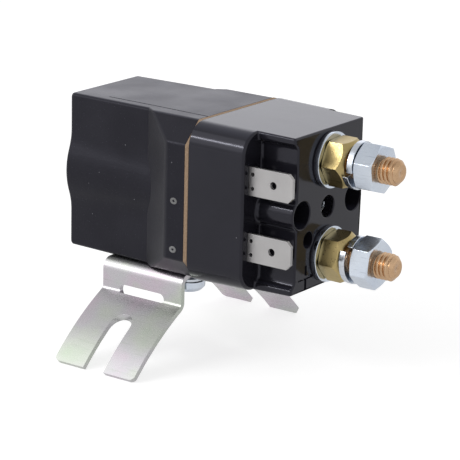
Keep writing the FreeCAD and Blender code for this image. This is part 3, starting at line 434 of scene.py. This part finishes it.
def fibreSheet():
    made = Finish("fibreSheet", roughness=fibre["roughness"])
    skin = made.group(grainGroup, Scale=fibre["grain"], Stretch=fibre["stretch"], Patch_Scale=fibre["patch"])
    base = made.ramp(skin.outputs["Height"], fibre["shades"])
    stained = made.spread(skin.outputs["Patch"], 0.0, fibre["stainMost"])
    made.wear("Base Color", made.mix(stained, base, fibre["stain"]))
    made.bump(skin.outputs["Height"], fibre["bump"])
    return made.material


wire = {
    "roughness": 0.3,
    "turns": 1.6,
    "waver": 0.3,
    "shades": [(0.1, (0.12, 0.03, 0.01)), (0.8, (0.55, 0.20, 0.07))],
    "bump": 0.00015,
}


def woundWire():
    made = Finish("woundWire", roughness=wire["roughness"])
    turns = node(made.tree, "ShaderNodeTexWave", wave_type="BANDS", bands_direction="X")
    turns.inputs["Scale"].default_value = wire["turns"]
    turns.inputs["Distortion"].default_value = wire["waver"]
    feed(made.tree, made.where, turns.inputs["Vector"])
    made.wear("Base Color", made.ramp(turns.outputs["Color"], wire["shades"]))
    made.bump(turns.outputs["Color"], wire["bump"])
    return made.material


finishes = {
    # the colours given for faces that look up are partly dust, partly a painted sheen of the light from above
    "housing": mouldedPlastic("mattPlastic", (0.0110, 0.0105, 0.0150), (0.0160, 0.0155, 0.0210),
                              (0.32, 0.42), 2.2, 0.00003, specks=0.16, dustAndSheenColour=(0.070, 0.070, 0.090),
                              specular=0.21, tint=(0.84, 0.84, 1.0), grit=0.6),
    "cover": mouldedPlastic("glossPlastic", (0.0120, 0.0115, 0.0160), (0.0150, 0.0145, 0.0200),
                            (0.12, 0.18), 0.35, 0.00001, specks=0.02, dustAndSheenColour=(0.032, 0.033, 0.050),
                            specular=0.34, tint=(0.86, 0.86, 1.0)),
    "zinc": platedMetal("zincStrip", [(0.30, (0.49, 0.55, 0.46)), (0.42, (0.53, 0.55, 0.51)),
                                      (0.50, (0.53, 0.52, 0.54)), (0.60, (0.56, 0.49, 0.55)),
                                      (0.72, (0.49, 0.56, 0.46))],
                        (0.26, 0.29), patch=0.055, patchStretch=(1.0, 0.45, 1.6), stretch=(0.3, 1, 1),
                        bump=0.000001, scratches=0.25),
    "zincNut": platedMetal("zincNut", shades((0.56, 0.62, 0.72), (0.66, 0.71, 0.78)), (0.17, 0.23),
                           bump=0.000008),
    "brass": platedMetal("brassNut", shades((0.37, 0.285, 0.115), (0.47, 0.37, 0.18)), (0.26, 0.38),
                         bump=0.00001),
    "copper": platedMetal("bronzeStud", shades((0.48, 0.30, 0.17), (0.62, 0.42, 0.26)), (0.20, 0.32),
                          bump=0.00001),
    "tin": platedMetal("tinBlade", shades((0.42, 0.41, 0.41), (0.49, 0.48, 0.48)), (0.36, 0.50),
                       grain=5.0, scratches=0.0),
    "iron": platedMetal("softIron", shades((0.50, 0.51, 0.52), (0.60, 0.61, 0.62)), (0.30, 0.45)),
    "springSteel": platedMetal("springSteel", shades((0.54, 0.58, 0.64), (0.64, 0.67, 0.72)), (0.16, 0.28)),
    "silver": platedMetal("silverTip", shades((0.80, 0.79, 0.76), (0.90, 0.89, 0.86)), (0.20, 0.35)),
    "bobbin": mouldedPlastic("paleNylon", (0.62, 0.58, 0.48), (0.70, 0.66, 0.56), (0.40, 0.50),
                             1.5, 0.00002),
    "sleeve": mouldedPlastic("redSleeve", (0.35, 0.03, 0.02), (0.45, 0.05, 0.04), (0.40, 0.55),
                             2.0, 0.00002),
    "rubber": mouldedPlastic("blackRubber", (0.015, 0.015, 0.015), (0.030, 0.030, 0.030), (0.60, 0.75),
                             2.0, 0.00003, specks=0.1),
    "markPaint": mouldedPlastic("paleMark", (0.16, 0.16, 0.16), (0.34, 0.34, 0.35), (0.35, 0.50),
                                4.0, 0.00004),
    "gasket": fibreSheet(),
    "winding": woundWire(),
}
print("finishes mixed")


# turning a mesh into a finished piece

edges = {
    "flatAngle": 1.0,        # degrees: faces that turn less than this become one
    "widthAngle": 20,        # an edge that turns more can have a width of its own
    "sharpAngle": 28,        # an edge that turns more is sharp to the eye
    "steps": 4,
    "easedSteps": 3,
    "weld": 0.002,           # corners nearer to each other than this become one, in mm
    "fineWeld": 0.001,
}

bodyOf = {name: body for body, members in frame["record"]["behaviour"]["bodies"].items() for name in members}


def newObject(name, shape):
    mesh = bpy.data.meshes.new(name)
    shape.to_mesh(mesh)
    shape.free()
    made = bpy.data.objects.new(name, mesh)
    bpy.context.scene.collection.objects.link(made)
    return made


def finishedPiece(name, shape, finish, home, replaces=True, ease=0.0):
    # ease is the widest edge of a Bevel modifier in mm, with each edge's share in its bevel weight
    for face in shape.faces:
        face.smooth = True
    piece = newObject(name, shape)
    piece.data.materials.append(finishes[finish])
    if ease:
        bevel = piece.modifiers.new("easedEdges", "BEVEL")
        bevel.limit_method = "WEIGHT"
        bevel.width = ease * mm
        bevel.segments = edges["steps"]
        bevel.use_clamp_overlap = False
        bevel.loop_slide = False
    normals = piece.modifiers.new("evenNormals", "WEIGHTED_NORMAL")
    normals.keep_sharp = True
    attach(piece, bodyOf[home])
    if replaces:
        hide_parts(home)
    return piece


def joinFlats(shape):
    bmesh.ops.dissolve_limit(shape, angle_limit=math.radians(edges["flatAngle"]), verts=shape.verts,
                             edges=shape.edges)


def weld(shape, reach=edges["fineWeld"]):
    bmesh.ops.remove_doubles(shape, verts=shape.verts, dist=reach * mm)


def copyOf(name, merge=edges["weld"]):
    shape = bmesh.new()
    shape.from_mesh(nodes[name].data)
    weld(shape, merge)
    joinFlats(shape)
    return shape


def sharpEdges(shape, angle):
    return [edge for edge in shape.edges if len(edge.link_faces) == 2
            and edge.calc_face_angle(0) > math.radians(angle)]


def easedCopy(name, finish, width):
    # one width for every sharp edge
    shape = copyOf(name)
    bmesh.ops.bevel(shape, geom=sharpEdges(shape, edges["sharpAngle"]), offset=width * mm,
                    offset_type="OFFSET", affect="EDGES", segments=edges["easedSteps"], profile=0.5,
                    material=-1, clamp_overlap=True)
    weld(shape)
    finishedPiece(name + "_dressed", shape, finish, name)


def fromJoint(point):
    # a place in mm, along the object from the gasket joint and level with the plunger's axis
    return (point - Vector((jointPlace, 0, axisHeight))) / mm


def toJoint(x, y, z):
    return Vector((jointPlace + x * mm, y * mm, axisHeight + z * mm))


def ruledCopy(name, finish, shape, widest, widthOf):
    # each sharp edge gets the width that widthOf gives for its place, or stays crisp
    weights = shape.edges.layers.float.new("bevel_weight_edge")
    for edge in sharpEdges(shape, edges["widthAngle"]):
        ends = [fromJoint(corner.co) for corner in edge.verts]
        low, high = (Vector([pick(end[axis] for end in ends) for axis in range(3)]) for pick in (min, max))
        width = widthOf(low, high, edge.calc_face_angle_signed(0) > 0)
        edge[weights] = width / widest
        if not width and edge.calc_face_angle(0) > math.radians(edges["sharpAngle"]):
            edge.smooth = False
    finishedPiece(name + "_dressed", shape, finish, name, ease=widest)


# coil housing

housing = {
    "mouth": 0.12,           # widths of the eased edges, in mm
    "tail": 0.35,
    "land": 0.8,             # where the flare meets the flange
    "corner": 0.45,
    "flareStart": -14.8,     # places from the gasket joint
    "tailEnd": -37.2,
    "roomStart": -36.3,      # the hollow for the coil, where nothing is eased
    "roomHalfWidth": 13.3,
    "roomHalfHeight": 16.4,
    "crownLevel": 17.3,      # the flat top and bottom between the rounded corners
    "crownHalfWidth": 12.6,
    "grooveFrom": -11.3,     # the thin groove along the top
    "grooveTo": -9.3,
    "near": 0.1,             # how near to a plane an edge counts as lying in it
    "creaseNear": 0.3,
    "merge": 0.06,
}


def farthest(low, high, axis):
    return max(abs(low[axis]), abs(high[axis]))


def housingEdge(low, high, convex):
    width, height = farthest(low, high, 1), farthest(low, high, 2)
    if low.x > housing["roomStart"] and width < housing["roomHalfWidth"]:
        if height < housing["roomHalfHeight"]:
            return 0
        if height > housing["crownLevel"] and width < housing["crownHalfWidth"]:
            return 0
    if low.z > housing["crownLevel"] and housing["grooveFrom"] < low.y and high.y < housing["grooveTo"]:
        return 0
    if low.x > -housing["near"]:
        return housing["mouth"] if convex else 0
    if high.x < housing["tailEnd"]:
        return housing["tail"]
    offCrease = max(abs(place - housing["flareStart"]) for place in (low.x, high.x))
    if offCrease < housing["creaseNear"] or not convex:
        return 0
    return housing["land"] if high.x - low.x < housing["near"] else housing["corner"]


ruledCopy("coil_housing", "housing", copyOf("coil_housing", housing["merge"]),
          housing["land"], housingEdge)

flangeMarks = {
    "places": ((-2.82, 0.13), (-2.87, -10.93)),
    "radius": 0.95,
    "ring": 0.58,            # width of the pale ring round the dark middle
    "rise": 0.05,
    "side": -19.0,
    "slim": 0.80,            # a mark is a little lower than wide
    "foot": 0.08,            # how far the ring's slopes reach
    "slope": 0.10,
    "shoulder": 0.8,         # share of the rise at the ring's inner shoulder
    "around": 28,
}


def addFlangeMark(name, x, z):
    outer, rise, slope = flangeMarks["radius"], flangeMarks["rise"], flangeMarks["slope"]
    inner = outer - flangeMarks["ring"]
    outline = [(inner - flangeMarks["foot"], 0), (inner, rise * flangeMarks["shoulder"]),
               (inner + slope, rise), (outer - slope, rise), (outer, 0)]
    shape = bmesh.new()
    corners = [shape.verts.new(Vector((r, -out, 0)) * mm) for r, out in outline]
    lines = [shape.edges.new(pair) for pair in zip(corners, corners[1:] + corners[:1])]
    bmesh.ops.spin(shape, geom=corners + lines, cent=(0, 0, 0), axis=(0, 1, 0), dvec=(0, 0, 0),
                   angle=math.tau, steps=flangeMarks["around"], use_merge=True)
    weld(shape)
    bmesh.ops.scale(shape, verts=shape.verts, vec=(1, 1, flangeMarks["slim"]))
    bmesh.ops.translate(shape, verts=shape.verts, vec=toJoint(x, flangeMarks["side"], z))
    bmesh.ops.recalc_face_normals(shape, faces=shape.faces)
    finishedPiece(name, shape, "markPaint", "coil_housing", replaces=False)


for number, (x, z) in enumerate(flangeMarks["places"], start=1):
    addFlangeMark("flange_mark_" + str(number), x, z)
print("housing dressed")


# contact cover

cover = {
    "gasket": 0.15,          # widths of the eased edges, in mm
    "boss": 0.10,
    "holeRim": 0.30,
    "columnRim": 0.35,
    "recessRim": 0.50,
    "recessBack": 0.60,
    "lipFoot": 0.35,
    "farRim": 0.20,
    "columnFoot": 0.90,
    "outer": 0.65,
    "merge": 0.06,
    "start": 1.0,            # places along the object, from the gasket joint
    "wingEnd": 15.5,
    "end": 25.0,
    "near": 0.1,             # how near to a plane or a circle an edge counts as lying in it
    "ringNear": 0.12,
    # half width and half height, outside which lies the outer rim
    "startHalf": (13.5, 17),
    "endHalf": (13.3, 17.4),
    "openSide": -13,         # beyond this an edge lies on the recess's open side
    "lipSide": -13.5,
    "backSide": -12,
    "bladeSlot": (-16.8, -15.6),
    "bladeSlotHeight": 10.8,
    "studLevel": 10.6,
    "bossRadius": 6.3,
    # side, level and radius
    "column": (-9.95, 0.0, 3.8),
    "holes": ((-9.95, 0.0, 3.05), (9.95, 0.0, 3.05), (0.0, 0.0, 2.45), (-7.2, -6.1, 1.8)),
    "plus": (-7.9, -14.5),   # middle of the sunk polarity sign, side and level
    "plusHeight": 5.6,
    "plusWidth": 5.6,
    "plusLine": 0.8,
    "plusDepth": 0.35,
    "plusClear": 1,          # how far the cut starts outside the face
}


def onRing(low, high, side, level, radius):
    middle = (low + high) / 2
    return abs(math.hypot(middle.y - side, middle.z - level) - radius) < cover["ringNear"]


def outsideOf(low, high, half):
    return farthest(low, high, 1) > half[0] or farthest(low, high, 2) > half[1]


def endFaceEdge(low, high, convex):
    if any(onRing(low, high, *hole) for hole in cover["holes"]):
        return cover["holeRim"]
    if onRing(low, high, *cover["column"]):
        return cover["columnRim"]
    if low.x > cover["end"] + cover["near"]:
        level = math.copysign(cover["studLevel"], high.z)
        return cover["boss"] if onRing(low, high, 0, level, cover["bossRadius"]) else 0
    if not convex:
        return 0
    if low.y < cover["backSide"]:
        return cover["recessRim"]
    return cover["outer"] if outsideOf(low, high, cover["endHalf"]) else 0


def wingEndEdge(low, high, convex):
    if convex:
        besideBlade = (low.y > cover["bladeSlot"][0] and high.y < cover["bladeSlot"][1]
                       and farthest(low, high, 2) < cover["bladeSlotHeight"])
        return cover["outer"] if low.y < cover["openSide"] and not besideBlade else 0
    if onRing(low, high, *cover["column"]):
        return cover["columnFoot"]
    if high.y < cover["lipSide"]:
        return cover["lipFoot"]
    return cover["recessBack"] if high.y < cover["backSide"] else 0


def coverEdge(low, high, convex):
    wingEnd, end, near = cover["wingEnd"], cover["end"], cover["near"]
    if high.x < cover["start"] + near:
        return cover["gasket"] if convex and outsideOf(low, high, cover["startHalf"]) else 0
    if high.x < wingEnd - near:
        return 0
    if low.x > end - near:
        return endFaceEdge(low, high, convex)
    if low.x > wingEnd + near:
        return 0
    if high.x > end - near:
        if not convex:
            return cover["columnFoot"]
        return cover["recessRim"] if low.y < cover["openSide"] else cover["farRim"]
    if high.x < wingEnd + near and low.x > wingEnd - near:
        return wingEndEdge(low, high, convex)
    return 0


def boxShape(low, high):
    shape = bmesh.new()
    made = bmesh.ops.create_cube(shape, size=1.0)["verts"]
    bmesh.ops.scale(shape, verts=made, vec=high - low)
    bmesh.ops.translate(shape, verts=made, vec=(low + high) / 2)
    return shape


def cutAway(shape, boxes):
    # the shape less the boxes, as a new bmesh
    block = newObject("uncut", shape)
    cutters = [newObject("cutter", boxShape(low, high)) for low, high in boxes]
    for cutter in cutters:
        cut = block.modifiers.new("cut", "BOOLEAN")
        cut.operation = "DIFFERENCE"
        cut.solver = "EXACT"
        cut.object = cutter
    ready = block.evaluated_get(bpy.context.evaluated_depsgraph_get())
    left = bmesh.new()
    left.from_mesh(ready.to_mesh())
    for spare in [block] + cutters:
        bpy.data.objects.remove(spare)
    joinFlats(left)
    return left


def plusBoxes():
    side, level = cover["plus"]
    sunk, clear = cover["end"] - cover["plusDepth"], cover["end"] + cover["plusClear"]
    line = cover["plusLine"] / 2
    for halfWidth, halfHeight in ((line, cover["plusHeight"] / 2), (cover["plusWidth"] / 2, line)):
        yield (toJoint(sunk, side - halfWidth, level - halfHeight),
               toJoint(clear, side + halfWidth, level + halfHeight))


ruledCopy("contact_cover", "cover", cutAway(copyOf("contact_cover", cover["merge"]), plusBoxes()),
          cover["columnFoot"], coverEdge)

flash = {
    "side": 0.0,             # the sight hole, whose rim the moulding left ragged
    "level": 0.0,
    "outer": 2.30,
    "reach": 0.75,
    "steps": 46,
    "place": 24.62,
    "thickness": 0.16,
    "heading": 1.1,          # turns the side that reaches furthest in
    "least": 0.10,           # shares of the reach
    "thin": 0.25,
    "thick": 0.75,
    "lift": (-0.3, 0.15),    # how far a point may lie out of the ring's plane
    "seed": 7,
}


def addFlash():
    draw = random.Random(flash["seed"])
    shape = bmesh.new()
    bmesh.ops.create_circle(shape, segments=flash["steps"], radius=flash["outer"] * mm, cap_ends=False)
    tips = [thing for thing in bmesh.ops.extrude_edge_only(shape, edges=shape.edges[:])["geom"]
            if isinstance(thing, bmesh.types.BMVert)]
    for corner in tips:
        heading = math.atan2(corner.co.y, corner.co.x)
        low = 0.5 + 0.5 * math.cos(heading + flash["heading"])
        share = flash["least"] + (flash["thin"] + flash["thick"] * low) * draw.random() ** 2
        corner.co *= 1 - flash["reach"] * share / flash["outer"]
        corner.co.z += draw.uniform(*flash["lift"]) * mm
    bmesh.ops.solidify(shape, geom=shape.faces[:], thickness=flash["thickness"] * mm)
    turned = [(corner, Vector((corner.co.z, corner.co.x, corner.co.y))) for corner in shape.verts]
    for corner, place in turned:
        corner.co = place + toJoint(flash["place"], flash["side"], flash["level"])
    bmesh.ops.recalc_face_normals(shape, faces=shape.faces)
    finishedPiece("sight_hole_flash", shape, "cover", "contact_cover", replaces=False)


addFlash()
print("cover dressed")


# bracket, gasket, nuts, washers, blades and screws, each with one width for its edges

eased = {
    "mounting_bracket": ("zinc", 0.15),
    "cover_gasket": ("gasket", 0.10),
    "flat_washer_upper": ("zincNut", 0.12),
    "flat_washer_lower": ("zincNut", 0.12),
    "brass_nut_upper": ("brass", 0.12),
    "brass_nut_lower": ("brass", 0.12),
    "outer_nut_upper": ("zincNut", 0.12),
    "outer_nut_lower": ("zincNut", 0.12),
    "lock_washer_upper": ("springSteel", 0.12),
    "lock_washer_lower": ("springSteel", 0.12),
    "blade_terminal_upper": ("tin", 0.08),
    "blade_terminal_lower": ("tin", 0.08),
    "bracket_screw_near": ("zincNut", 0.15),
    "bracket_screw_far": ("zincNut", 0.15),
    "bracket_lock_washer_near": ("springSteel", 0.10),
    "bracket_lock_washer_far": ("springSteel", 0.10),
    "cover_screw_near": ("zincNut", 0.12),
    "cover_screw_far": ("zincNut", 0.12),
}

for name, (finish, width) in eased.items():
    easedCopy(name, finish, width)
print("edges eased")


# terminal studs with their rolled thread

stud = {
    "shankEnd": 26.3,        # places along the object from the gasket joint, in mm
    "washerGap": (31.65, 34.15),
    "free": 39.05,
    "bevelStart": 42.3,
    "tip": 43.4,
    "tipRadius": 1.9,
    "outer": 3.0,
    "root": 2.40,
    "pitch": 1.0,
    "around": 64,
    "along": 0.11,
    "crest": (0.14, 0.66),   # where the thread's flank starts, and how long it is, as shares of half a pitch
    "headHalf": 4.9,
    "headThickness": 2.5,
    "headCorner": 1.2,
    "sunk": 1,               # the shank starts this far inside the head
    "threadStop": 0.12,      # the thread ends this far from the tip
    "tipOutline": ((0.04, 1.90), (0, 1.76), (0, 0.62), (0.10, 0.48), (0.10, 0.34), (0.03, 0.20), (0.03, 0)),
    "near": 0.01,
    "weld": 0.003,
}


def threadShare(turned):
    # one pitch of a rounded thread, 0 at the root and 1 at the crest
    rise = 1 - abs(turned % 1.0 - 0.5) / 0.5
    start, length = stud["crest"]
    return min(1.0, max(0.0, (rise - start) / length))


def threadRadius(x, heading):
    share = threadShare(x / stud["pitch"] - heading / math.tau)
    slope = (stud["outer"] - stud["tipRadius"]) / (stud["tip"] - stud["bevelStart"])
    bevelled = stud["outer"] - max(0.0, x - stud["bevelStart"]) * slope
    return min(stud["root"] + (stud["outer"] - stud["root"]) * share, bevelled)


def threadPoints(start, end):
    count = round((end - start) / stud["along"])
    return [(start + (end - start) * step / count, stud["outer"]) for step in range(count + 1)]


def studOutline(start):
    # place along the object and radius, from the head to the tip
    gapStart, gapEnd = stud["washerGap"]
    outline = [(start + stud["sunk"], 0), (start + stud["sunk"], stud["outer"]),
               (stud["shankEnd"], stud["outer"]), (stud["shankEnd"], stud["root"])]
    outline += threadPoints(gapStart, gapEnd) + [(stud["free"], stud["root"])]
    outline += threadPoints(stud["free"] + stud["near"] * 2, stud["tip"] - stud["threadStop"])
    return outline + [(stud["tip"] - depth, radius) for depth, radius in stud["tipOutline"]]


def rollThread(shape):
    # pulls the points of the threaded stretches in to the thread's own radius
    gapStart, gapEnd = stud["washerGap"]
    near = stud["near"]
    for corner in shape.verts:
        x, across = corner.co.x / mm, math.hypot(corner.co.y, corner.co.z) / mm
        inGap = gapStart - near < x < gapEnd + near
        inFree = stud["free"] + near < x < stud["tip"] - stud["threadStop"] + near
        if (inGap or inFree) and across > stud["outer"] - near:
            factor = threadRadius(x, math.atan2(corner.co.z, corner.co.y)) / across
            corner.co.y *= factor
            corner.co.z *= factor


def addStudHead(shape, start):
    size = Vector((stud["headThickness"], stud["headHalf"] * 2, stud["headHalf"] * 2)) * mm
    head = bmesh.ops.create_cube(shape, size=1.0)["verts"]
    bmesh.ops.scale(shape, verts=head, vec=size)
    bmesh.ops.translate(shape, verts=head, vec=((start + stud["headThickness"] / 2) * mm, 0, 0))
    around = [edge for edge in {edge for corner in head for edge in corner.link_edges}
              if abs(edge.verts[0].co.x - edge.verts[1].co.x) > mm]
    bmesh.ops.bevel(shape, geom=around, offset=stud["headCorner"] * mm, offset_type="OFFSET", affect="EDGES",
                    segments=1, profile=0.5, material=-1)


def addStud(name):
    low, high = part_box(name)
    start = fromJoint(low).x
    shape = bmesh.new()
    corners = [shape.verts.new(Vector((x, 0, radius)) * mm) for x, radius in studOutline(start)]
    lines = [shape.edges.new(pair) for pair in zip(corners, corners[1:])]
    bmesh.ops.spin(shape, geom=corners + lines, cent=(0, 0, 0), axis=(1, 0, 0), dvec=(0, 0, 0),
                   angle=math.tau, steps=stud["around"], use_merge=True)
    weld(shape, stud["weld"])
    rollThread(shape)
    addStudHead(shape, start)
    bmesh.ops.recalc_face_normals(shape, faces=shape.faces)
    bmesh.ops.translate(shape, verts=shape.verts, vec=(jointPlace, 0, (low.z + high.z) / 2))
    finishedPiece(name + "_dressed", shape, "copper", name)


for name in ("terminal_stud_upper", "terminal_stud_lower"):
    addStud(name)
print("studs threaded")


# the sealed pieces keep their solids and take a finish

inner = {
    "iron": ["yoke_frame", "pole_plate", "fixed_core", "plunger", "spring_plate", "return_spring_seat"],
    "brass": ["guide_tube", "bridge_washer", "push_rod"],
    "bobbin": ["coil_bobbin", "bridge_bush"],
    "winding": ["coil_winding"],
    "sleeve": ["coil_lead_upper", "coil_lead_lower"],
    "copper": ["contact_bridge"],
    "silver": ["fixed_tip_upper", "fixed_tip_lower", "bridge_tip_upper", "bridge_tip_lower"],
    "springSteel": ["contact_spring", "return_spring", "rod_clip"],
    "rubber": ["rear_buffer"],
}

for finish, names in inner.items():
    for name in names:
        nodes[name].data.materials.clear()
        nodes[name].data.materials.append(finishes[finish])
print("inner pieces finished")
